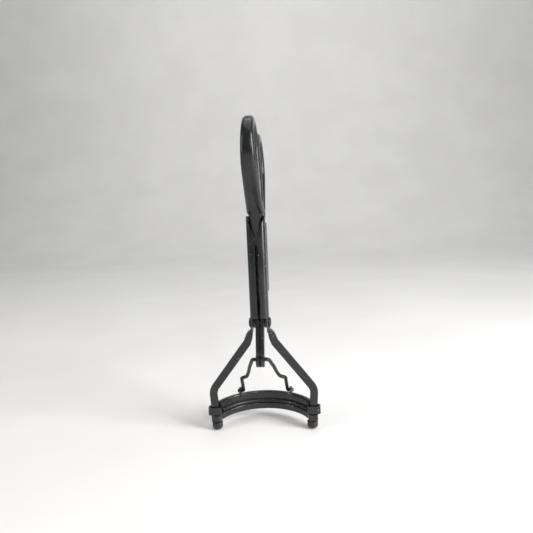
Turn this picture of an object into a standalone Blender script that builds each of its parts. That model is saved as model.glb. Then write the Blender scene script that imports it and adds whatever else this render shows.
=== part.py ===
"""Eyelash curler: a scissor handle with two finger rings that lifts a curved pressing jaw off a silicone pad.

The curler stands upright: foot caps on z = 0, finger rings at the top. +X runs along the width of
the jaws, the front handle is on the -Y side, and the jaws bulge towards +Y. The jaws are closed and
the handles together.
"""

import math

import bmesh
import bpy
from mathutils import Vector

MM = 0.001

# Overall
LENGTH = 106.0 * MM  # foot tips to the top of the front finger ring
RING_REACH = 21.5 * MM  # from the middle plane to the outer side of either finger ring
REAR_DROP = 2.6 * MM  # the rear ring and its socket sit this much lower than the front one
FIT_GAP = 0.3 * MM  # play between parts that touch

# Rolled steel sheet of the two handle shanks
SHEET = 0.75 * MM
SHANK_WIDTH = 6.3 * MM  # along X
SHANK_DEPTH = 5.4 * MM  # along Y
SHANK_CORNER = 1.7 * MM
SEAM = 1.1 * MM  # open seam on the outer side of each shank
SHANK_Y = 3.0 * MM  # distance of each shank's middle from the middle plane
SOCKET_TOP = 74.8 * MM  # upper end of the socket that takes a finger ring
SOCKET_LOW = 68.2 * MM  # point of the V notch in the outer wall of the same socket

# Handle pivot
PIVOT = Vector((0.0, -SHANK_Y, 38.7 * MM))
RIVET_RADIUS = 1.0 * MM
RIVET_HEAD_RADIUS = 1.8 * MM
RIVET_HEAD_HEIGHT = 0.65 * MM
RIVET_HOLE_RADIUS = RIVET_RADIUS + FIT_GAP
RIVET_HEAD_GAP = 0.08 * MM
SPACER_RADIUS = 1.9 * MM
SPACER_LEVER_GAP = 0.2 * MM
SPACER_CHEEK_GAP = 0.15 * MM
HEAD_STEPS = 4
HEAD_SWEEP = math.radians(81)  # a head's crown ends in a small flat
CHEEK_BOTTOM = 35.6 * MM
FRONT_WINDOW_TOP = 40.4 * MM  # the lever swings out under this edge
REAR_WINDOW_TOP = 48.5 * MM  # the rear handle's neck comes out under this edge

# Legs of the frame
LEG_WIDTH = 2.75 * MM
LEG_THICKNESS = 1.5 * MM
LEG_Y = -1.2 * MM
FOOT_X = 16.8 * MM
KNEE = Vector((17.75 * MM, LEG_Y, 14.3 * MM))
KNEE_RADIUS = 4.5 * MM
LEG_CORNER_SHARE = 0.28  # corner radius of a leg, as a share of its thinner side
HIP = Vector((4.7 * MM, -2.75 * MM, 31.7 * MM))
SPIGOT_TOP = 5.4 * MM
SPIGOT_BOTTOM = 0.9 * MM
SPIGOT_WIDTH = 1.7 * MM
SPIGOT_THICKNESS = 1.2 * MM
SPIGOT_PLAY = 0.25 * MM
SHOULDER_STEP = 0.05 * MM  # height over which a spigot widens to the full leg
# from the hip up to the cheek: (x, y, z) of the middle, share of the thigh's tilt, width, thickness
HIP_TO_CHEEK = (
    ((3.95 * MM, -2.85 * MM, 33.8 * MM), 0.9, 2.6 * MM, 2.0 * MM),
    ((3.55 * MM, -2.95 * MM, 35.1 * MM), 0.5, 2.0 * MM, 2.7 * MM),
    ((3.05 * MM, -3.0 * MM, 36.1 * MM), 0.2, 1.1 * MM, 3.2 * MM),
)
CHEEK_TIP_Z = 36.8 * MM
CHEEK_TIP_END = 37.6 * MM
CHEEK_TIP_WIDTH = SHEET * 0.8
CHEEK_TIP_DEPTH = 3.4 * MM

# Jaws: concentric arcs seen from above
ARC_CENTRE = Vector((0.0, -7.5 * MM, 0.0))
ARC_RADIUS = 18.0 * MM
ARC_END_ANGLE = math.radians(21.0)
PAD_END_ANGLE = math.radians(30.0)
HOLDER_WIDTH = 2.6 * MM
HOLDER_BOTTOM = 3.0 * MM
HOLDER_TOP = 5.3 * MM
GROOVE_WIDTH = 1.5 * MM
GROOVE_FLOOR = 3.8 * MM
GROOVE_EXTRA_ANGLE = math.radians(1.5)  # the groove runs on past each end of the pad
PAD_FLOOR_GAP = 0.2 * MM  # under the tongue
HOLDER_CORNER = 0.35 * MM
JAW_CORNER = 0.5 * MM
PAD_BASE_WIDTH = 0.9 * MM
PAD_WIDTH = 2.2 * MM
PAD_TOP = 6.7 * MM
PAD_CROWN_RADIUS = 0.75 * MM
PAD_SEAT_GAP = 0.15 * MM  # under the head, over the holder
JAW_THICKNESS = 1.6 * MM
JAW_BOTTOM = 6.9 * MM
JAW_TOP = 9.6 * MM
EAR_BOTTOM = 5.6 * MM
EAR_TOP = 8.2 * MM
EAR_X = 17.38 * MM
EAR_WALL = 0.5 * MM
EAR_PLAY_X = 0.45 * MM
EYE_WALL = 0.6 * MM
SLEEVE_BORE_CORNER = 0.4 * MM
SLEEVE_CORNER_GROWTH = 0.8  # outer corner radius added for each unit of wall
EYE_TOP = HOLDER_TOP - 0.2 * MM

# Lever at the lower end of the rear handle, and the wire yoke
LEVER_HALF_WIDTH = 1.4 * MM
LEVER_BOSS_RADIUS = 2.1 * MM  # round the rivet
LEVER_TIP_RADIUS = 1.6 * MM
EYE_RADIUS = 2.6 * MM  # lump round the yoke's cross bar
NECK_TOP = Vector((SHANK_Y, 45.5 * MM))  # (y, z)
NECK_RADIUS = 2.3 * MM
NECK_HALF_WIDTH = LEVER_HALF_WIDTH + 0.05 * MM
# the shank is pinched flat towards the neck: (z, width, depth) of its sections
PINCH = (
    (43.6 * MM, 2.5 * MM, 3.6 * MM),
    (45.4 * MM, 3.2 * MM, 4.8 * MM),
    (48.6 * MM, 6.0 * MM, 5.2 * MM),
    (50.5 * MM, 6.0 * MM, 5.2 * MM),
)
PINCH_CORNER_SHARE = 0.3
REAR_SHANK_BOTTOM = 49.0 * MM
SLIT_BACK_WALL = 0.3 * MM  # the slit starts this far in front of the lever's middle
SLIT_ABOVE = 1.0 * MM
SLIT_BELOW = 3.0 * MM
SLIT_REACH = 3.5 * MM
LEVER_SLIT = 0.5 * MM
BAR = Vector((0.0, -7.4 * MM, 27.0 * MM))  # the yoke's cross bar
WIRE_RADIUS = 0.65 * MM
BAR_HOLE_RADIUS = WIRE_RADIUS + 0.55 * MM
LUG_X = 9.3 * MM
LUG_THICKNESS = 0.8 * MM
LUG_RADIUS = 1.35 * MM
LUG_ROOT_RADIUS = 1.08 * MM
LUG_ROOT_DEPTH = 1.0 * MM  # the middle of the lug's root lies this far below the jaw's top
LUG_HOLE_RADIUS = WIRE_RADIUS + FIT_GAP
YOKE_PIN_Z = 10.6 * MM
YOKE_PIN_OVERHANG = 1.0 * MM  # a pin's end stands this far past its lug's middle
YOKE_BEND_RADIUS = 0.95 * MM
# one limb from the jaw up to the cross bar: (x, share of the yoke's height)
YOKE_LIMB = (
    (8.1 * MM, 0.0),
    (7.8 * MM, 0.425),
    (5.8 * MM, 0.485),
    (4.85 * MM, 0.63),
    (4.2 * MM, 0.78),
    (2.75 * MM, 1.0),
)

# Finger rings
RING_TIP_WIDTH = 3.5 * MM  # at the top of a ring
RING_ROOT_WIDTH = 5.8 * MM  # at its root, where it nearly fills the socket's mouth
RING_BOW_RADIUS = 10.5 * MM
RING_HOLE_RADIUS = 7.4 * MM
RING_EDGE = 1.25 * MM
RING_STEPS = 44  # straight pieces round a ring
STEM_WIDTH = SHANK_WIDTH - 2 * SHEET - 2 * FIT_GAP
STEM_HALF_DEPTH = 1.6 * MM
STEM_BOTTOM = 65.0 * MM
ROOT_RADIUS = 2.3 * MM
ROOT_Z = SOCKET_TOP + FIT_GAP + ROOT_RADIUS  # the root rests just above the socket
STEM_OVERLAP = 0.3 * MM  # the stem ends this far above the middle of the root
STEM_CORNER = 1.0 * MM
HOLE_TIP_RADIUS = 1.2 * MM
HOLE_TIP_SHARE = 0.207  # how far the hole's tip lies from the root towards the bow's middle

# Foot caps
CAP_RADIUS = 1.85 * MM
CAP_DOME_SHARE = 0.65  # height of the rounded tip, as a share of the radius
CAP_TOP = HOLDER_BOTTOM - FIT_GAP
CAP_TIP_FLAT = 0.12  # radius of the flat tip, as a share of the cap's radius
CAP_BORE_CORNER = 0.4 * MM
DOME_STEPS = 5
CAP_SIDES = 24

ARC_STEPS = 6  # straight pieces in a small rounded corner
JAW_STEPS = 36  # straight pieces along a jaw


def clear_scene():
    for item in list(bpy.data.objects):
        bpy.data.objects.remove(item, do_unlink=True)


def material(name, colour, roughness, metallic):
    made = bpy.data.materials.new(name)
    made.use_nodes = True
    shader = made.node_tree.nodes["Principled BSDF"]
    shader.inputs["Base Color"].default_value = (*colour, 1.0)
    shader.inputs["Roughness"].default_value = roughness
    shader.inputs["Metallic"].default_value = metallic
    return made


def arc_points(centre, radius, start, end, steps):
    """Points on a circle in a plane, from one angle to the other."""
    angles = [start + (end - start) * step / steps for step in range(steps + 1)]
    return [Vector((centre[0] + radius * math.cos(a), centre[1] + radius * math.sin(a))) for a in angles]


def rounded_rectangle(width, depth, radius, steps=2):
    points = []
    for turn, (sx, sy) in enumerate(((1, 1), (-1, 1), (-1, -1), (1, -1))):
        centre = (sx * (width / 2 - radius), sy * (depth / 2 - radius))
        start = turn * math.pi / 2
        points += arc_points(centre, radius, start, start + math.pi / 2, steps)
    return points


def two_circle_hull(centre_a, radius_a, centre_b, radius_b, steps=18):
    """Outline of a belt round two circles: a teardrop or a tapered bar with round ends."""
    span = Vector(centre_b) - Vector(centre_a)
    heading = math.atan2(span.y, span.x)
    spread = math.acos((radius_a - radius_b) / span.length)
    far = arc_points(centre_b, radius_b, heading - spread, heading + spread, steps)
    near = arc_points(centre_a, radius_a, heading + spread, heading + 2 * math.pi - spread, steps)
    return far + near


def mesh_object(name, bm, look=None):
    bmesh.ops.remove_doubles(bm, verts=bm.verts, dist=1e-7)
    bmesh.ops.recalc_face_normals(bm, faces=bm.faces)
    mesh = bpy.data.meshes.new(name)
    bm.to_mesh(mesh)
    bm.free()
    made = bpy.data.objects.new(name, mesh)
    bpy.context.scene.collection.objects.link(made)
    if look:
        mesh.materials.append(look)
    mesh.shade_smooth()
    mesh.set_sharp_from_angle(angle=math.radians(35))
    return made


def prism(name, outline, start, end, axis="Z", look=None):
    """Extrudes a flat outline: (y, z) points along X, (x, z) along Y or (x, y) along Z."""
    across = "XYZ".index(axis)
    bm = bmesh.new()
    corners = []
    for point in outline:
        spot = [point[0], point[1]]
        spot.insert(across, start)
        corners.append(bm.verts.new(spot))
    travel = Vector((0.0, 0.0, 0.0))
    travel[across] = end - start
    face = bm.faces.new(corners)
    grown = bmesh.ops.extrude_face_region(bm, geom=[face])
    moved = [v for v in grown["geom"] if isinstance(v, bmesh.types.BMVert)]
    bmesh.ops.translate(bm, verts=moved, vec=travel)
    return mesh_object(name, bm, look)


def loft(name, sections, look=None, closed=False):
    """Skins a row of sections that all have the same number of points."""
    bm = bmesh.new()
    rows = [[bm.verts.new(p) for p in section] for section in sections]
    count = len(rows[0])
    pairs = list(zip(rows, rows[1:]))
    if closed:
        pairs.append((rows[-1], rows[0]))
    for low, high in pairs:
        for i in range(count):
            j = (i + 1) % count
            bm.faces.new((low[i], low[j], high[j], high[i]))
    if not closed:
        bm.faces.new(rows[0])
        bm.faces.new(rows[-1])
    return mesh_object(name, bm, look)


def box(name, low, high):
    outline = [(low[0], low[1]), (high[0], low[1]), (high[0], high[1]), (low[0], high[1])]
    return prism(name, outline, low[2], high[2])


def rod(name, radius, start, end, y, z, steps=24):
    """A round bar along X."""
    outline = arc_points((y, z), radius, 0, 2 * math.pi, steps)[:-1]
    return prism(name, outline, start, end, axis="X")


def combine(target, helper, operation):
    """Joins a helper shape to the target, or cuts it away, with a live Boolean."""
    helper.hide_render = True
    helper.display_type = "WIRE"
    change = target.modifiers.new(helper.name, "BOOLEAN")
    change.operation = operation
    change.object = helper
    return target


def soften(target, width, segments, angle=40):
    change = target.modifiers.new("rounded_edges", "BEVEL")
    change.width = width
    change.segments = segments
    change.limit_method = "ANGLE"
    change.angle_limit = math.radians(angle)
    return change


def move_origin(item, point):
    """Puts an object's origin on its joint's axis and leaves its shape where it is."""
    for vertex in item.data.vertices:
        vertex.co -= point
    item.location = point


# ---- Shanks --------------------------------------------------------------------------------------


def rolled_section(side):
    """A rolled sheet seen from above, open along a seam that faces the given side of Y."""
    outer = rounded_rectangle(SHANK_WIDTH, SHANK_DEPTH, SHANK_CORNER, 4)
    inner = rounded_rectangle(SHANK_WIDTH - 2 * SHEET, SHANK_DEPTH - 2 * SHEET, SHANK_CORNER - SHEET, 4)
    half = len(outer) // 2
    # both loops start at the +X side and run round; the seam opens in the middle of the second half
    outer_edge = -SHANK_DEPTH / 2
    inner_edge = outer_edge + SHEET
    cut = half + half // 2
    lip = SEAM / 2
    outer_run = outer[cut:] + outer[:cut]
    inner_run = inner[cut:] + inner[:cut]
    outline = [Vector((lip, outer_edge))] + outer_run + [Vector((-lip, outer_edge))]
    outline += [Vector((-lip, inner_edge))] + inner_run[::-1] + [Vector((lip, inner_edge))]
    return [Vector((p.x, -side * p.y + side * SHANK_Y)) for p in outline]


def socket_notch(name, side, drop):
    """A V notch in the outer wall of a shank's upper end, which spreads the seam into two lips."""
    outline = [
        (-SEAM * 0.5, SOCKET_LOW - drop),
        (SEAM * 0.5, SOCKET_LOW - drop),
        (SHANK_WIDTH * 0.5, SOCKET_TOP - drop),
        (SHANK_WIDTH * 0.5, SOCKET_TOP - drop + MM),
        (-SHANK_WIDTH * 0.5, SOCKET_TOP - drop + MM),
        (-SHANK_WIDTH * 0.5, SOCKET_TOP - drop),
    ]
    return prism(name, outline, side * SHANK_Y, side * (SHANK_Y + SHANK_DEPTH), axis="Y")


# ---- Frame: front shank, cheeks and the two legs in one stamping ---------------------------------


def leg_section(centre, tilt, width, thickness, side):
    """A rounded bar section, turned in the X-Z plane by the leg's tilt."""
    corner = min(width, thickness) * LEG_CORNER_SHARE
    outline = rounded_rectangle(width, thickness, corner)
    return [
        Vector((side * (centre.x + p.x * math.cos(tilt)), centre.y + p.y, centre.z + p.x * math.sin(tilt)))
        for p in outline
    ]


def shin_x(z):
    """How far from the middle a leg's centre line is below the knee."""
    return FOOT_X + (KNEE.x - FOOT_X) * z / KNEE.z


def frame_leg(name, side):
    """One leg: edge-on cheek at the top, turned face-on at the hip, bent at the knee, ending in a spigot."""
    shin_tilt = -math.atan2(KNEE.x - FOOT_X, KNEE.z)
    thigh_tilt = math.atan2(KNEE.x - HIP.x, HIP.z - KNEE.z)
    turn = thigh_tilt - shin_tilt
    tangent = KNEE_RADIUS * math.tan(turn / 2)
    thigh_run = (HIP - KNEE).normalized()
    shin_run = (KNEE - Vector((FOOT_X, LEG_Y, 0.0))).normalized()
    stations = []
    for z, width, thickness in (
        (SPIGOT_BOTTOM, SPIGOT_WIDTH, SPIGOT_THICKNESS),
        (SPIGOT_TOP - SHOULDER_STEP, SPIGOT_WIDTH, SPIGOT_THICKNESS),
        (SPIGOT_TOP, LEG_WIDTH, LEG_THICKNESS),
    ):
        stations.append((Vector((shin_x(z), LEG_Y, z)), 0.0, width, thickness))
    knee_start = KNEE - shin_run * tangent
    for step in range(ARC_STEPS + 1):
        swept = turn * step / ARC_STEPS
        along = KNEE_RADIUS * math.sin(swept)
        inward = KNEE_RADIUS * (1 - math.cos(swept))
        heading = Vector((shin_run.x, 0.0, shin_run.z))
        normal = Vector((-shin_run.z, 0.0, shin_run.x))
        centre = knee_start + heading * along + normal * inward
        centre.y = LEG_Y
        stations.append((centre, shin_tilt + swept, LEG_WIDTH, LEG_THICKNESS))
    stations.append((HIP - thigh_run * 2 * MM, thigh_tilt, LEG_WIDTH, LEG_THICKNESS))
    stations.append((HIP, thigh_tilt, LEG_WIDTH, LEG_THICKNESS))
    cheek_x = SHANK_WIDTH / 2 - SHEET / 2
    for centre, tilt_share, width, thickness in HIP_TO_CHEEK:
        stations.append((Vector(centre), thigh_tilt * tilt_share, width, thickness))
    for z in (CHEEK_TIP_Z, CHEEK_TIP_END):
        stations.append((Vector((cheek_x, -SHANK_Y, z)), 0.0, CHEEK_TIP_WIDTH, CHEEK_TIP_DEPTH))
    return loft(name, [leg_section(*station, side) for station in stations])


def front_handle_frame(steel):
    frame = prism("front_handle_frame", rolled_section(-1), CHEEK_BOTTOM, SOCKET_TOP, look=steel)
    combine(frame, socket_notch("front_socket_notch", -1, 0.0), "DIFFERENCE")
    inside = SHANK_WIDTH / 2 - SHEET
    front = -SHANK_Y - SHANK_DEPTH
    rear = -SHANK_Y + SHANK_DEPTH
    below = CHEEK_BOTTOM - MM
    front_cut = box("front_window_cut", (-inside, front, below), (inside, -SHANK_Y, FRONT_WINDOW_TOP))
    rear_cut = box("rear_window_cut", (-inside, -SHANK_Y, below), (inside, rear, REAR_WINDOW_TOP))
    combine(frame, front_cut, "DIFFERENCE")
    combine(frame, rear_cut, "DIFFERENCE")
    for side, label in ((-1, "left"), (1, "right")):
        combine(frame, frame_leg("leg_shape_" + label, side), "UNION")
    bore = rod("frame_rivet_bore", RIVET_HOLE_RADIUS, -SHANK_WIDTH, SHANK_WIDTH, PIVOT.y, PIVOT.z)
    combine(frame, bore, "DIFFERENCE")
    return frame


# ---- Rear handle: shank, neck and lever in one stamping ------------------------------------------


def rear_handle(steel):
    pivot_2d = Vector((PIVOT.y, PIVOT.z))
    bar_2d = Vector((BAR.y, BAR.z))
    half = LEVER_HALF_WIDTH
    lever_outline = two_circle_hull(pivot_2d, LEVER_BOSS_RADIUS, bar_2d, LEVER_TIP_RADIUS, 12)
    handle = prism("rear_handle_lever", lever_outline, -half, half, axis="X", look=steel)
    # a hair narrower than the lever, so that no two faces lie in one plane
    eye_half = half * 0.99
    combine(handle, rod("lever_eye_shape", EYE_RADIUS, -eye_half, eye_half, BAR.y, BAR.z), "UNION")
    neck_outline = two_circle_hull(pivot_2d, LEVER_BOSS_RADIUS, NECK_TOP, NECK_RADIUS, 12)
    neck = prism("neck_shape", neck_outline, -NECK_HALF_WIDTH, NECK_HALF_WIDTH, axis="X")
    combine(handle, neck, "UNION")
    pinched = []
    for z, width, depth in PINCH:
        outline = rounded_rectangle(width, depth, PINCH_CORNER_SHARE * width)
        pinched.append([Vector((p.x, p.y + SHANK_Y, z)) for p in outline])
    combine(handle, loft("pinched_shape", pinched), "UNION")
    shank = prism("rear_shank_shape", rolled_section(1), REAR_SHANK_BOTTOM, SOCKET_TOP - REAR_DROP)
    combine(shank, socket_notch("rear_socket_notch", 1, REAR_DROP), "DIFFERENCE")
    combine(handle, shank, "UNION")
    bore = rod("lever_rivet_bore", RIVET_HOLE_RADIUS, -SHANK_WIDTH, SHANK_WIDTH, PIVOT.y, PIVOT.z)
    combine(handle, bore, "DIFFERENCE")
    bar_bore = rod("bar_bore", BAR_HOLE_RADIUS, -SHANK_WIDTH, SHANK_WIDTH, BAR.y, BAR.z)
    combine(handle, bar_bore, "DIFFERENCE")
    # the two folded walls of the lever leave a narrow slit that is open to the front
    lever_run = (bar_2d - pivot_2d).normalized()
    front_normal = Vector((lever_run.y, -lever_run.x))
    slit_start = pivot_2d - lever_run * SLIT_ABOVE + front_normal * SLIT_BACK_WALL
    slit_end = bar_2d + lever_run * SLIT_BELOW + front_normal * SLIT_BACK_WALL
    reach = front_normal * SLIT_REACH
    slit_outline = [slit_start, slit_end, slit_end + reach, slit_start + reach]
    slit = prism("lever_slit", slit_outline, -LEVER_SLIT / 2, LEVER_SLIT / 2, axis="X")
    combine(handle, slit, "DIFFERENCE")
    move_origin(handle, PIVOT)
    return handle


# ---- Finger rings --------------------------------------------------------------------------------


def taper(item, low, high, low_width, high_width):
    """Makes a flat piece of unit width along X narrower from its lower end to its upper end."""
    for vertex in item.data.vertices:
        share = (vertex.co.z - low) / (high - low)
        width = low_width + (high_width - low_width) * share
        vertex.co.x = math.copysign(width / 2, vertex.co.x)


def finger_ring(name, side, drop, plastic):
    """A teardrop ring in the Y-Z plane, with a stem that plugs into its shank."""
    def placed(point):
        return Vector((-side * point[0], point[1] - drop))

    bow = Vector((-(RING_REACH - RING_BOW_RADIUS), LENGTH - RING_BOW_RADIUS))
    root = Vector((-SHANK_Y, ROOT_Z))
    hole_tip = root.lerp(bow, HOLE_TIP_SHARE)
    outer = two_circle_hull(root, ROOT_RADIUS, bow, RING_BOW_RADIUS, RING_STEPS)
    inner = two_circle_hull(hole_tip, HOLE_TIP_RADIUS, bow, RING_HOLE_RADIUS, RING_STEPS)
    half = RING_ROOT_WIDTH / 2
    ring = prism(name, [placed(p) for p in outer], -half, half, axis="X", look=plastic)
    taper(ring, ROOT_Z - ROOT_RADIUS - drop, LENGTH - drop, RING_ROOT_WIDTH, RING_TIP_WIDTH)
    hole = prism(name + "_hole", [placed(p) for p in inner], -2 * half, 2 * half, axis="X")
    combine(ring, hole, "DIFFERENCE")
    soften(ring, RING_EDGE, 3)
    stem_outline = rounded_rectangle(STEM_WIDTH, 2 * STEM_HALF_DEPTH, STEM_CORNER)
    stem_outline = [Vector((p.x, p.y + side * SHANK_Y)) for p in stem_outline]
    stem = prism(name + "_stem", stem_outline, STEM_BOTTOM - drop, ROOT_Z + STEM_OVERLAP - drop)
    combine(ring, stem, "UNION")
    return ring


# ---- Pivot ---------------------------------------------------------------------------------------


def turned(name, profile, centre, look, steps=24):
    """A turned piece along X. The profile lists (x, radius) from one end to the other."""
    rows = []
    for x, radius in profile:
        rows.append([Vector((x, centre.y + p.x, centre.z + p.y)) for p in
                     arc_points((0, 0), radius, 0, 2 * math.pi, steps)[:-1]])
    return loft(name, rows, look)


def pivot_rivet(steel):
    seat = SHANK_WIDTH / 2 + RIVET_HEAD_GAP
    crown = []
    for step in range(HEAD_STEPS + 1):
        angle = HEAD_SWEEP * step / HEAD_STEPS
        crown.append((seat + RIVET_HEAD_HEIGHT * math.sin(angle), RIVET_HEAD_RADIUS * math.cos(angle)))
    right = [(seat, RIVET_RADIUS)] + crown
    left = [(-x, radius) for x, radius in reversed(right)]
    return turned("pivot_rivet", left + right, PIVOT, steel)


def pivot_spacer(label, side, steel):
    inner = LEVER_HALF_WIDTH + SPACER_LEVER_GAP
    outer = SHANK_WIDTH / 2 - SHEET - SPACER_CHEEK_GAP
    spacer = rod("pivot_spacer_" + label, SPACER_RADIUS, side * inner, side * outer, PIVOT.y, PIVOT.z)
    spacer.data.materials.append(steel)
    bore = rod("spacer_bore_" + label, RIVET_HOLE_RADIUS, -SHANK_WIDTH, SHANK_WIDTH, PIVOT.y, PIVOT.z)
    return combine(spacer, bore, "DIFFERENCE")


# ---- Jaws ----------------------------------------------------------------------------------------


def arc_sweep(name, section, end_angle, look=None):
    """Sweeps a section of (outward, z) points along the jaws' arc."""
    rows = []
    for step in range(JAW_STEPS + 1):
        angle = end_angle + (math.pi - 2 * end_angle) * step / JAW_STEPS
        out = Vector((math.cos(angle), math.sin(angle), 0.0))
        rows.append([ARC_CENTRE + out * (ARC_RADIUS + p[0]) + Vector((0, 0, p[1])) for p in section])
    return loft(name, rows, look)


def band_section(width, bottom, top, corner):
    middle = (bottom + top) / 2
    return [(p.x, p.y + middle) for p in rounded_rectangle(width, top - bottom, corner)]


def sleeve(name, centre_x, bore_width, bore_depth, wall, bottom, top):
    """Outer block and bore of an eye that goes round a leg."""
    parts = []
    for label, grow, extra in (("block", wall, 0.0), ("bore", 0.0, 2 * MM)):
        corner = SLEEVE_BORE_CORNER + grow * SLEEVE_CORNER_GROWTH
        outline = rounded_rectangle(bore_width + 2 * grow, bore_depth + 2 * grow, corner)
        outline = [Vector((p.x + centre_x, p.y + LEG_Y)) for p in outline]
        parts.append(prism(name + "_" + label, outline, bottom - extra, top + extra))
    return parts


def upper_jaw(steel):
    section = band_section(JAW_THICKNESS, JAW_BOTTOM, JAW_TOP, JAW_CORNER)
    jaw = arc_sweep("upper_jaw", section, ARC_END_ANGLE, steel)
    bores = []
    lug_y = ARC_CENTRE.y + math.sqrt(ARC_RADIUS**2 - LUG_X**2)
    for side, label in ((-1, "left"), (1, "right")):
        bore_width = LEG_WIDTH + 2 * EAR_PLAY_X
        bore_depth = LEG_THICKNESS + 2 * FIT_GAP
        block, bore = sleeve(
            "ear_" + label, side * EAR_X, bore_width, bore_depth, EAR_WALL, EAR_BOTTOM, EAR_TOP
        )
        combine(jaw, block, "UNION")
        bores.append(bore)
        lug_root = (lug_y, JAW_TOP - LUG_ROOT_DEPTH)
        lug_outline = two_circle_hull(lug_root, LUG_ROOT_RADIUS, (lug_y, YOKE_PIN_Z), LUG_RADIUS, 8)
        edges = sorted((side * (LUG_X - LUG_THICKNESS / 2), side * (LUG_X + LUG_THICKNESS / 2)))
        combine(jaw, prism("lug_" + label, lug_outline, edges[0], edges[1], axis="X"), "UNION")
    for bore in bores:
        combine(jaw, bore, "DIFFERENCE")
    pin_bore = rod("lug_bore", LUG_HOLE_RADIUS, -LUG_X - 2 * MM, LUG_X + 2 * MM, lug_y, YOKE_PIN_Z, 16)
    combine(jaw, pin_bore, "DIFFERENCE")
    return jaw


def pad_holder(steel):
    holder = arc_sweep("pad_holder", band_section(HOLDER_WIDTH, HOLDER_BOTTOM, HOLDER_TOP, HOLDER_CORNER),
                       ARC_END_ANGLE, steel)
    bores = []
    for side, label in ((-1, "left"), (1, "right")):
        bore_width = SPIGOT_WIDTH + 2 * SPIGOT_PLAY
        bore_depth = SPIGOT_THICKNESS + 2 * SPIGOT_PLAY
        eye_x = side * shin_x((HOLDER_BOTTOM + EYE_TOP) / 2)
        block, bore = sleeve("eye_" + label, eye_x, bore_width, bore_depth, EYE_WALL, HOLDER_BOTTOM, EYE_TOP)
        combine(holder, block, "UNION")
        bores.append(bore)
    for bore in bores:
        combine(holder, bore, "DIFFERENCE")
    groove = [
        (-GROOVE_WIDTH / 2, GROOVE_FLOOR),
        (GROOVE_WIDTH / 2, GROOVE_FLOOR),
        (GROOVE_WIDTH / 2, HOLDER_TOP + MM),
        (-GROOVE_WIDTH / 2, HOLDER_TOP + MM),
    ]
    combine(holder, arc_sweep("pad_groove", groove, PAD_END_ANGLE - GROOVE_EXTRA_ANGLE), "DIFFERENCE")
    return holder


def silicone_pad(rubber):
    """A mushroom strip: a narrow tongue in the holder's groove and a wide rounded head above it."""
    head_bottom = HOLDER_TOP + PAD_SEAT_GAP
    tongue = PAD_BASE_WIDTH / 2
    crown_radius = PAD_CROWN_RADIUS
    half = PAD_WIDTH / 2
    tongue_bottom = GROOVE_FLOOR + PAD_FLOOR_GAP
    section = [(-tongue, tongue_bottom), (tongue, tongue_bottom), (tongue, head_bottom)]
    section += [(half, head_bottom)]
    crown = half - crown_radius
    crown_z = PAD_TOP - crown_radius
    section += arc_points((crown, crown_z), crown_radius, 0, math.pi / 2, 3)
    section += arc_points((-crown, crown_z), crown_radius, math.pi / 2, math.pi, 3)
    section += [(-half, head_bottom), (-tongue, head_bottom)]
    return arc_sweep("silicone_pad", section, PAD_END_ANGLE, rubber)


# ---- Yoke ----------------------------------------------------------------------------------------


def rounded_path(corners, radius, steps):
    """Replaces each inner corner of a path with a tangent arc."""
    path = [corners[0]]
    for before, corner, after in zip(corners, corners[1:], corners[2:]):
        into = (corner - before).normalized()
        out = (after - corner).normalized()
        turn = into.angle(out)
        room = min((corner - before).length, (after - corner).length) * 0.45
        reach = min(radius * math.tan(turn / 2), room)
        start = corner - into * reach
        end = corner + out * reach
        for step in range(steps + 1):
            t = step / steps
            path.append(start * (1 - t) ** 2 + corner * 2 * t * (1 - t) + end * t**2)
    path.append(corners[-1])
    return path


def link_yoke(steel):
    """One bent wire: cross bar at the lever, two shouldered limbs, and end pins in the jaw's lugs."""
    pin_y = ARC_CENTRE.y + math.sqrt(ARC_RADIUS**2 - LUG_X**2)
    reach = Vector((BAR.y - pin_y, BAR.z - YOKE_PIN_Z))
    rise = reach.length
    half_path = [(LUG_X + YOKE_PIN_OVERHANG, 0.0)] + [(x, rise * share) for x, share in YOKE_LIMB]
    corners = [Vector((x, 0.0, z)) for x, z in half_path]
    corners += [Vector((-x, 0.0, z)) for x, z in reversed(half_path)]
    curve = bpy.data.curves.new("link_yoke", "CURVE")
    curve.dimensions = "3D"
    curve.bevel_depth = WIRE_RADIUS
    curve.bevel_resolution = 3
    curve.use_fill_caps = True
    points = rounded_path(corners, YOKE_BEND_RADIUS, 5)
    spline = curve.splines.new("POLY")
    spline.points.add(len(points) - 1)
    for node, point in zip(spline.points, points):
        node.co = (*point, 1.0)
    curve.materials.append(steel)
    yoke = bpy.data.objects.new("link_yoke", curve)
    bpy.context.scene.collection.objects.link(yoke)
    yoke.location = (0.0, pin_y, YOKE_PIN_Z)
    yoke.rotation_euler = (math.atan2(-reach.x, reach.y), 0.0, 0.0)
    return yoke


# ---- Foot caps -----------------------------------------------------------------------------------


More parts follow.
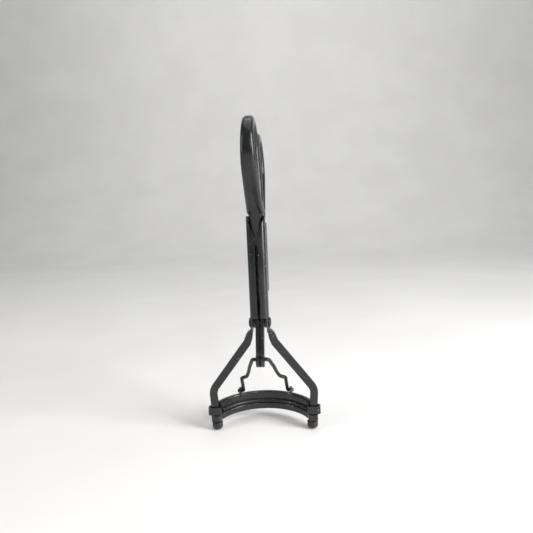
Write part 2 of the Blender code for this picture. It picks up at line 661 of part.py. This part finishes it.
def foot_cap(label, side, plastic):
    """A round-ended cap pushed over the leg's spigot."""
    rows = []
    for step in range(1, DOME_STEPS + 1):
        angle = math.radians(90 * step / DOME_STEPS)
        radius = CAP_RADIUS * math.sin(angle)
        z = CAP_RADIUS * CAP_DOME_SHARE * (1 - math.cos(angle))
        rows.append((radius, z))
    rows.append((CAP_RADIUS, CAP_TOP))
    centre_x = side * FOOT_X
    sections = []
    for radius, z in rows:
        ring = arc_points((centre_x, LEG_Y), radius, 0, 2 * math.pi, CAP_SIDES)[:-1]
        sections.append([Vector((p.x, p.y, z)) for p in ring])
    tip = arc_points((centre_x, LEG_Y), CAP_RADIUS * CAP_TIP_FLAT, 0, 2 * math.pi, CAP_SIDES)[:-1]
    sections.insert(0, [Vector((p.x, p.y, 0.0)) for p in tip])
    cap = loft("foot_cap_" + label, sections, plastic)
    spigot_x = side * shin_x(CAP_TOP / 2)
    bore_width = SPIGOT_WIDTH + 2 * SPIGOT_PLAY
    bore_depth = SPIGOT_THICKNESS + 2 * SPIGOT_PLAY
    socket = rounded_rectangle(bore_width, bore_depth, CAP_BORE_CORNER)
    socket = [Vector((p.x + spigot_x, p.y + LEG_Y)) for p in socket]
    bore = prism("cap_bore_" + label, socket, SPIGOT_BOTTOM - SPIGOT_PLAY, CAP_TOP + MM)
    return combine(cap, bore, "DIFFERENCE")


def build():
    clear_scene()
    painted_steel = material("black_painted_steel", (0.022, 0.026, 0.026), 0.38, 0.35)
    black_abs = material("black_abs", (0.020, 0.023, 0.023), 0.30, 0.0)
    silicone = material("black_silicone", (0.024, 0.024, 0.027), 0.55, 0.0)
    front_handle_frame(painted_steel)
    rear_handle(painted_steel)
    finger_ring("front_finger_ring", -1, 0.0, black_abs)
    finger_ring("rear_finger_ring", 1, REAR_DROP, black_abs)
    pivot_rivet(painted_steel)
    for side, label in ((-1, "left"), (1, "right")):
        pivot_spacer(label, side, painted_steel)
        foot_cap(label, side, black_abs)
    upper_jaw(painted_steel)
    pad_holder(painted_steel)
    silicone_pad(silicone)
    link_yoke(painted_steel)


build()
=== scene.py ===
"""The looks of a black eyelash curler: satin-painted steel, glossy finger rings and a silicone pad."""

import math

import bmesh
import bpy
from mathutils import Matrix, Vector

MM = 0.001

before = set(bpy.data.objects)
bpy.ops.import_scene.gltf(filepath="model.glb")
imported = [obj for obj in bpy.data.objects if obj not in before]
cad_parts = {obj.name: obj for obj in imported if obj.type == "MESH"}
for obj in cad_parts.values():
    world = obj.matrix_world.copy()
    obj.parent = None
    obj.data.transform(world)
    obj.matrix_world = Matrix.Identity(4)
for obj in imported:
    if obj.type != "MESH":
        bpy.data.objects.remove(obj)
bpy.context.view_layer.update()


# ---- Materials ------------------------------------------------------------------------------------------


# the edge mask set up here serves both the enamel's edge wear and the plastic's painted edge highlight
EDGE_SAMPLES = 6
EDGE_TURN = (0.02, 0.16)  # how far the surface has turned where wear begins, and where it is full
PAINT_WEAR_RADIUS = 0.22 * MM
# the plastic's lighter edge colour is a painted highlight, spread over this radius
PLASTIC_HIGHLIGHT_RADIUS = 0.25 * MM
DUST_COLOUR = (0.34, 0.35, 0.34)
LINT_COLOUR = (0.30, 0.30, 0.31)
# a lighter grey painted along the moulded edges as a highlight
PLASTIC_EDGE_HIGHLIGHT = (0.040, 0.043, 0.043)

# how many features of each pattern there are in a metre
PAINT_PATCHES, ORANGE_PEEL, DRAWN_MARKS, PAINT_WEAR = 190, 2600, 1500, 700
DUST_SPECKS, DUST_AREAS, DUST_HAIRS = 560, 330, 620
PLASTIC_FLOW, PLASTIC_GRAIN, PLASTIC_HAIRLINES = 160, 3200, 900
SILICONE_CLOUD, SILICONE_GRAIN = 260, 2300
LINT_SPECKS, LINT_AREAS, LINT_FIBRES = 520, 420, 1400
FLOOR_CLOUD, FLOOR_GRAIN = 14, 1400


class Shading:
    """A node tree with one Principled shader and short ways to add nodes to it."""

    def __init__(self, name, roughness, specular=0.5, coat=0.0, coat_roughness=0.1):
        self.material = bpy.data.materials.new(name)
        self.material.use_nodes = True
        self.tree = self.material.node_tree
        self.shader = self.tree.nodes["Principled BSDF"]
        self.shader.inputs["Roughness"].default_value = roughness
        self.shader.inputs["Specular IOR Level"].default_value = specular
        self.shader.inputs["Coat Weight"].default_value = coat
        self.shader.inputs["Coat Roughness"].default_value = coat_roughness
        self.place = self.tree.nodes.new("ShaderNodeTexCoord").outputs["Object"]

    def join(self, source, target):
        self.tree.links.new(source, target)

    def stretched(self, scale):
        node = self.tree.nodes.new("ShaderNodeMapping")
        node.inputs["Scale"].default_value = scale
        self.join(self.place, node.inputs["Vector"])
        return node.outputs["Vector"]

    def noise(self, scale, detail=4.0, roughness=0.55, vector=None, distortion=0.0):
        node = self.tree.nodes.new("ShaderNodeTexNoise")
        node.inputs["Scale"].default_value = scale
        node.inputs["Detail"].default_value = detail
        node.inputs["Roughness"].default_value = roughness
        node.inputs["Distortion"].default_value = distortion
        self.join(vector or self.place, node.inputs["Vector"])
        return node.outputs["Fac"]

    def cells(self, scale):
        node = self.tree.nodes.new("ShaderNodeTexVoronoi")
        node.inputs["Scale"].default_value = scale
        self.join(self.place, node.inputs["Vector"])
        return node.outputs["Distance"]

    def remap(self, value, low, high, to_low=0.0, to_high=1.0):
        node = self.tree.nodes.new("ShaderNodeMapRange")
        node.interpolation_type = "SMOOTHSTEP"
        node.inputs["From Min"].default_value = low
        node.inputs["From Max"].default_value = high
        node.inputs["To Min"].default_value = to_low
        node.inputs["To Max"].default_value = to_high
        self.join(value, node.inputs["Value"])
        return node.outputs["Result"]

    def math(self, operation, first, second):
        node = self.tree.nodes.new("ShaderNodeMath")
        node.operation = operation
        for socket, value in zip(node.inputs, (first, second)):
            if isinstance(value, (int, float)):
                socket.default_value = value
            else:
                self.join(value, socket)
        return node.outputs["Value"]

    def mix(self, factor, first, second):
        node = self.tree.nodes.new("ShaderNodeMix")
        node.data_type = "RGBA"
        self.join(factor, node.inputs["Factor"])
        colours = [s for s in node.inputs if s.type == "RGBA"]
        for socket, value in zip(colours, (first, second)):
            if isinstance(value, tuple):
                socket.default_value = (*value, 1.0)
            else:
                self.join(value, socket)
        return [s for s in node.outputs if s.type == "RGBA"][0]

    def edges_for_wear_and_highlight(self, radius):
        """1 where the surface turns a convex or concave corner, 0 on open faces: the mask for the enamel's
        edge wear and for the plastic's painted edge highlight.
        """
        bevel = self.tree.nodes.new("ShaderNodeBevel")
        bevel.samples = EDGE_SAMPLES
        bevel.inputs["Radius"].default_value = radius
        geometry = self.tree.nodes.new("ShaderNodeNewGeometry")
        dot = self.tree.nodes.new("ShaderNodeVectorMath")
        dot.operation = "DOT_PRODUCT"
        self.join(bevel.outputs["Normal"], dot.inputs[0])
        self.join(geometry.outputs["Normal"], dot.inputs[1])
        turned = self.math("SUBTRACT", 1.0, dot.outputs["Value"])
        return self.remap(turned, *EDGE_TURN)

    def bump(self, height, distance, strength=1.0, after=None):
        node = self.tree.nodes.new("ShaderNodeBump")
        node.inputs["Strength"].default_value = strength
        node.inputs["Distance"].default_value = distance
        self.join(height, node.inputs["Height"])
        if after:
            self.join(after, node.inputs["Normal"])
        return node.outputs["Normal"]

    def finish(self, colour, roughness, normal):
        self.join(colour, self.shader.inputs["Base Color"])
        self.join(roughness, self.shader.inputs["Roughness"])
        self.join(normal, self.shader.inputs["Normal"])
        return self.material


def enamel(name, dark, light, worn, gloss, dust, along=(1.0, 1.0, 0.2)):
    """Sprayed enamel on stamped steel: orange peel, drawn marks under the paint, dust and rubbed edges.

    gloss is the shader's roughness, dust the strength of the dust, and along stretches the drawn marks.
    """
    look = Shading(name, gloss, specular=0.5, coat=0.10, coat_roughness=0.12)
    patches = look.noise(PAINT_PATCHES, 5, 0.6)
    peel = look.noise(ORANGE_PEEL, 2, 0.5)
    drawn = look.noise(DRAWN_MARKS, 3, 0.6, look.stretched(along))
    colour = look.mix(look.remap(patches, 0.35, 0.68), dark, light)
    specks = look.remap(look.cells(DUST_SPECKS), 0.13, 0.08)
    speck_areas = look.remap(look.noise(DUST_AREAS, 3), 0.50, 0.62)
    hair_noise = look.noise(DUST_HAIRS, 1, 0.4, look.stretched((0.22, 0.6, 1.0)), 1.6)
    hairs = look.remap(hair_noise, 0.715, 0.745)
    spots = look.math("MULTIPLY", specks, speck_areas)
    marks = look.math("MAXIMUM", spots, look.math("MULTIPLY", hairs, 0.45))
    dusty = look.math("MULTIPLY", marks, dust)
    colour = look.mix(dusty, colour, DUST_COLOUR)
    edge = look.edges_for_wear_and_highlight(PAINT_WEAR_RADIUS)
    rubbed = look.math("MULTIPLY", edge, look.remap(look.noise(PAINT_WEAR, 4, 0.7), 0.42, 0.66))
    colour = look.mix(rubbed, colour, worn)
    roughness = look.remap(patches, 0.3, 0.72, gloss - 0.07, gloss + 0.07)
    roughness = look.math("ADD", roughness, look.math("MULTIPLY", rubbed, 0.10))
    normal = look.bump(peel, 0.012 * MM, 0.9)
    normal = look.bump(drawn, 0.010 * MM, 0.5, normal)
    normal = look.bump(patches, 0.15 * MM, 0.22, normal)
    return look.finish(colour, roughness, normal)


def moulded(name, dark, light, gloss):
    """Smooth injection-moulded plastic with faint flow marks, hairline scratches and a painted highlight
    along its edges.
    """
    look = Shading(name, gloss, specular=0.42, coat=0.12, coat_roughness=0.08)
    flow = look.noise(PLASTIC_FLOW, 4, 0.5, distortion=0.6)
    fine = look.noise(PLASTIC_GRAIN, 2, 0.5)
    hairline_noise = look.noise(PLASTIC_HAIRLINES, 2, 0.4, look.stretched((1.0, 3.0, 0.16)))
    hairs = look.remap(hairline_noise, 0.60, 0.70)
    colour = look.mix(look.remap(flow, 0.34, 0.7), dark, light)
    # painted highlight: a lighter colour along every edge stands in for the bright edge lines of glossy
    # plastic
    edge = look.edges_for_wear_and_highlight(PLASTIC_HIGHLIGHT_RADIUS)
    colour = look.mix(look.math("MULTIPLY", edge, 0.30), colour, PLASTIC_EDGE_HIGHLIGHT)
    roughness = look.remap(flow, 0.3, 0.7, gloss - 0.04, gloss + 0.07)
    roughness = look.math("ADD", roughness, look.math("MULTIPLY", hairs, 0.10))
    normal = look.bump(fine, 0.006 * MM, 0.7)
    normal = look.bump(flow, 0.20 * MM, 0.18, normal)
    return look.finish(colour, roughness, normal)


def silicone(name):
    """Soft silicone: smooth, slightly waxy, with lint caught on it."""
    look = Shading(name, 0.42, specular=0.5)
    cloud = look.noise(SILICONE_CLOUD, 4, 0.6)
    grain = look.noise(SILICONE_GRAIN, 3, 0.6)
    lint = look.remap(look.cells(LINT_SPECKS), 0.15, 0.09)
    areas = look.remap(look.noise(LINT_AREAS, 3), 0.49, 0.60)
    fibre_noise = look.noise(LINT_FIBRES, 1, 0.4, look.stretched((0.16, 1.0, 1.0)), 1.4)
    fibres = look.remap(fibre_noise, 0.70, 0.735)
    specks = look.math("MULTIPLY", lint, areas)
    caught = look.math("MAXIMUM", specks, look.math("MULTIPLY", fibres, 0.5))
    dark, light = (0.0050, 0.0050, 0.0068), (0.0105, 0.0102, 0.0130)
    colour = look.mix(look.remap(cloud, 0.35, 0.66), dark, light)
    colour = look.mix(look.math("MULTIPLY", caught, 0.75), colour, LINT_COLOUR)
    roughness = look.remap(cloud, 0.3, 0.7, 0.36, 0.50)
    normal = look.bump(grain, 0.014 * MM, 0.8)
    normal = look.bump(lint, 0.03 * MM, 0.6, normal)
    return look.finish(colour, roughness, normal)


def floor_look():
    """Matt pale paint with the faintest clouding."""
    look = Shading("floor_paint", 0.62, specular=0.3)
    cloud = look.noise(FLOOR_CLOUD, 4, 0.5)
    grain = look.noise(FLOOR_GRAIN, 2, 0.5)
    colour = look.mix(look.remap(cloud, 0.3, 0.7), (0.80, 0.795, 0.785), (0.84, 0.835, 0.825))
    roughness = look.remap(cloud, 0.3, 0.7, 0.58, 0.66)
    return look.finish(colour, roughness, look.bump(grain, 0.01 * MM, 0.4))


ALONG_THE_JAWS = (0.25, 0.25, 1.0)

FRAME_PAINT = enamel(
    "frame_enamel",
    dark=(0.0050, 0.0064, 0.0068),
    light=(0.0105, 0.0125, 0.0130),
    worn=(0.075, 0.08, 0.078),
    gloss=0.24,
    dust=0.55,
)
LEVER_PAINT = enamel(
    "lever_enamel",
    dark=(0.0070, 0.0085, 0.0085),
    light=(0.014, 0.016, 0.016),
    worn=(0.10, 0.10, 0.098),
    gloss=0.23,
    dust=0.45,
)
JAW_PAINT = enamel(
    "jaw_enamel",
    dark=(0.0060, 0.0068, 0.0075),
    light=(0.012, 0.013, 0.0145),
    worn=(0.075, 0.075, 0.078),
    gloss=0.28,
    dust=1.0,
    along=ALONG_THE_JAWS,
)
HOLDER_PAINT = enamel(
    "holder_enamel",
    dark=(0.0085, 0.0070, 0.0078),
    light=(0.016, 0.0135, 0.0150),
    worn=(0.08, 0.072, 0.074),
    gloss=0.27,
    dust=0.8,
    along=ALONG_THE_JAWS,
)
WIRE_PAINT = enamel(
    "wire_enamel",
    dark=(0.0060, 0.0068, 0.0070),
    light=(0.012, 0.013, 0.0135),
    worn=(0.09, 0.09, 0.088),
    gloss=0.25,
    dust=0.4,
)
RIVET_PAINT = enamel(
    "rivet_enamel",
    dark=(0.0085, 0.0095, 0.0100),
    light=(0.016, 0.0175, 0.018),
    worn=(0.10, 0.10, 0.10),
    gloss=0.24,
    dust=0.3,
)
RING_PLASTIC = moulded(
    "ring_plastic",
    dark=(0.0050, 0.0065, 0.0063),
    light=(0.0100, 0.0125, 0.0120),
    gloss=0.22,
)
CAP_PLASTIC = moulded(
    "cap_plastic",
    dark=(0.0085, 0.0082, 0.0090),
    light=(0.015, 0.0145, 0.016),
    gloss=0.32,
)
PAD_SILICONE = silicone("pad_silicone")

LOOKS = {
    "front_handle_frame": FRAME_PAINT,
    "rear_handle_lever": LEVER_PAINT,
    "upper_jaw": JAW_PAINT,
    "pad_holder": HOLDER_PAINT,
    "link_yoke": WIRE_PAINT,
    "pivot_rivet": RIVET_PAINT,
    "pivot_spacer_left": RIVET_PAINT,
    "pivot_spacer_right": RIVET_PAINT,
    "front_finger_ring": RING_PLASTIC,
    "rear_finger_ring": RING_PLASTIC,
    "foot_cap_left": CAP_PLASTIC,
    "foot_cap_right": CAP_PLASTIC,
    "silicone_pad": PAD_SILICONE,
}

# rounding of each node's edges: (width in mm, segments)
ROUNDING = {
    "front_handle_frame": (0.16, 2),
    "rear_handle_lever": (0.12, 2),
    "upper_jaw": (0.16, 2),
    "pad_holder": (0.12, 2),
    "silicone_pad": (0.12, 2),
    "pivot_spacer_left": (0.10, 2),
    "pivot_spacer_right": (0.10, 2),
}
EDGE_ANGLE = math.radians(32)
FLAT_ANGLE = math.radians(0.4)
WELD_DISTANCE = 0.001 * MM
LARGE_FACE_WEIGHT = 90  # large faces set the normals, so they look flat


def smooth_surface():
    """Geometry nodes that leave out a mesh's stored normals and sharp edges and shade it smooth."""
    group = bpy.data.node_groups.new("smooth_surface", "GeometryNodeTree")
    for direction in ("INPUT", "OUTPUT"):
        group.interface.new_socket("Geometry", in_out=direction, socket_type="NodeSocketGeometry")
    surface = group.nodes.new("NodeGroupInput").outputs[0]
    stored_normals = group.nodes.new("GeometryNodeRemoveAttribute")
    stored_normals.inputs["Name"].default_value = "custom_normal"
    steps = [stored_normals]
    for domain in ("EDGE", "FACE"):
        smooth = group.nodes.new("GeometryNodeSetShadeSmooth")
        smooth.domain = domain
        steps.append(smooth)
    for step in steps:
        group.links.new(surface, step.inputs[0])
        surface = step.outputs[0]
    group.links.new(surface, group.nodes.new("NodeGroupOutput").inputs[0])
    return group


SMOOTH_SURFACE = smooth_surface()


def clean_shading(node, rounding):
    """Joins the facets of a CAD node into smooth faces and rounds its edges, all with modifiers."""
    node.modifiers.new("smooth_surface", "NODES").node_group = SMOOTH_SURFACE
    weld = node.modifiers.new("weld", "WELD")
    weld.merge_threshold = WELD_DISTANCE
    if rounding:
        flat = node.modifiers.new("flat_faces", "DECIMATE")
        flat.decimate_type = "DISSOLVE"
        flat.angle_limit = FLAT_ANGLE
        bevel = node.modifiers.new("rounded_edges", "BEVEL")
        bevel.width = rounding[0] * MM
        bevel.segments = rounding[1]
        bevel.limit_method = "ANGLE"
        bevel.angle_limit = EDGE_ANGLE
    normals = node.modifiers.new("even_normals", "WEIGHTED_NORMAL")
    normals.keep_sharp = False
    normals.weight = LARGE_FACE_WEIGHT


for node_name, look in LOOKS.items():
    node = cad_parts[node_name]
    node.data.materials.clear()
    node.data.materials.append(look)
    clean_shading(node, ROUNDING.get(node_name))


# ---- Stage ----------------------------------------------------------------------------------------------


FLOOR_HALF_WIDTH = 1.6
FLOOR_FRONT = -1.4
FLOOR_BACK = 0.55
BACKDROP_TOP = 1.5
BEND_RADIUS = 0.35
BEND_STEPS = 12
FLOOR_DROP = 0.02 * MM  # keeps the floor just under the foot caps


def make_floor():
    """A pale floor that sweeps up into a backdrop far behind the curler."""
    bm = bmesh.new()
    profile = [(FLOOR_FRONT, 0.0), (FLOOR_BACK, 0.0)]
    for step in range(1, BEND_STEPS + 1):
        angle = math.radians(90) * step / BEND_STEPS
        profile.append((FLOOR_BACK + BEND_RADIUS * math.sin(angle), BEND_RADIUS * (1 - math.cos(angle))))
    profile.append((FLOOR_BACK + BEND_RADIUS, BACKDROP_TOP))
    rows = []
    for y, z in profile:
        rows.append([bm.verts.new((x, y, z - FLOOR_DROP)) for x in (-FLOOR_HALF_WIDTH, FLOOR_HALF_WIDTH)])
    for low, high in zip(rows, rows[1:]):
        bm.faces.new((low[0], low[1], high[1], high[0]))
    mesh = bpy.data.meshes.new("floor")
    bm.to_mesh(mesh)
    bm.free()
    mesh.shade_smooth()
    mesh.materials.append(floor_look())
    floor = bpy.data.objects.new("floor", mesh)
    bpy.context.scene.collection.objects.link(floor)


def area_light(name, location, target, size, power, colour):
    data = bpy.data.lights.new(name, "AREA")
    data.shape = "RECTANGLE"
    data.size, data.size_y = size
    data.energy = power
    data.color = colour
    light = bpy.data.objects.new(name, data)
    bpy.context.scene.collection.objects.link(light)
    light.location = location
    light.rotation_mode = "QUATERNION"
    light.rotation_quaternion = (Vector(target) - Vector(location)).to_track_quat("-Z", "Y")


CURLER_MIDDLE = (0.0, 0.0, 0.055)
# name, place and target in metres, (width, height) in metres, watts, colour
LIGHTS = (
    ("key_right", (0.34, -0.16, 0.20), CURLER_MIDDLE, (0.20, 0.36), 2.7, (1.0, 0.99, 0.97)),
    ("strip_left", (-0.36, -0.20, 0.22), CURLER_MIDDLE, (0.05, 0.34), 0.60, (1.0, 0.95, 0.955)),
    ("front_right", (0.20, -0.52, 0.30), CURLER_MIDDLE, (0.06, 0.30), 0.55, (0.97, 1.0, 1.0)),
    ("top_soft", (0.05, 0.05, 0.62), CURLER_MIDDLE, (0.5, 0.5), 0.85, (1.0, 1.0, 1.0)),
    ("back_wash", (0.0, 0.35, 0.75), (0.0, 0.85, 0.35), (0.7, 0.3), 1.9, (1.0, 0.99, 0.985)),
)
WORLD_COLOUR = (0.90, 0.92, 0.93, 1.0)
WORLD_STRENGTH = 0.27


def make_lights():
    """Soft light from the right, narrow strips from the left and front, and a wash on the backdrop."""
    for light in LIGHTS:
        area_light(*light)
    world = bpy.data.worlds.new("studio")
    bpy.context.scene.world = world
    world.use_nodes = True
    background = world.node_tree.nodes["Background"]
    background.inputs["Color"].default_value = WORLD_COLOUR
    background.inputs["Strength"].default_value = WORLD_STRENGTH


CAMERA_PLACE = Vector((15.39, -175.90, 78.94)) * MM
CAMERA_AZIMUTH = math.radians(4.098)
CAMERA_DOWN = math.radians(6.968)
CAMERA_ROLL = math.radians(-2.399)
CAMERA_LENS = 35.1
CAMERA_SENSOR = 36.0
CAMERA_NEAREST = 0.01
CAMERA_FARTHEST = 20.0


def make_camera():
    data = bpy.data.cameras.new("camera")
    data.sensor_width = CAMERA_SENSOR
    data.lens = CAMERA_LENS
    data.clip_start = CAMERA_NEAREST
    data.clip_end = CAMERA_FARTHEST
    camera = bpy.data.objects.new("camera", data)
    bpy.context.scene.collection.objects.link(camera)
    forward = Vector((
        -math.sin(CAMERA_AZIMUTH) * math.cos(CAMERA_DOWN),
        math.cos(CAMERA_AZIMUTH) * math.cos(CAMERA_DOWN),
        -math.sin(CAMERA_DOWN),
    ))
    level = Vector((math.cos(CAMERA_AZIMUTH), math.sin(CAMERA_AZIMUTH), 0.0))
    upright = level.cross(forward)
    right = level * math.cos(CAMERA_ROLL) + upright * math.sin(CAMERA_ROLL)
    up = upright * math.cos(CAMERA_ROLL) - level * math.sin(CAMERA_ROLL)
    turn = Matrix((right, up, -forward)).transposed()
    camera.matrix_world = Matrix.Translation(CAMERA_PLACE) @ turn.to_4x4()
    bpy.context.scene.camera = camera


make_floor()
make_lights()
make_camera()
bpy.context.scene.view_settings.view_transform = "Standard"
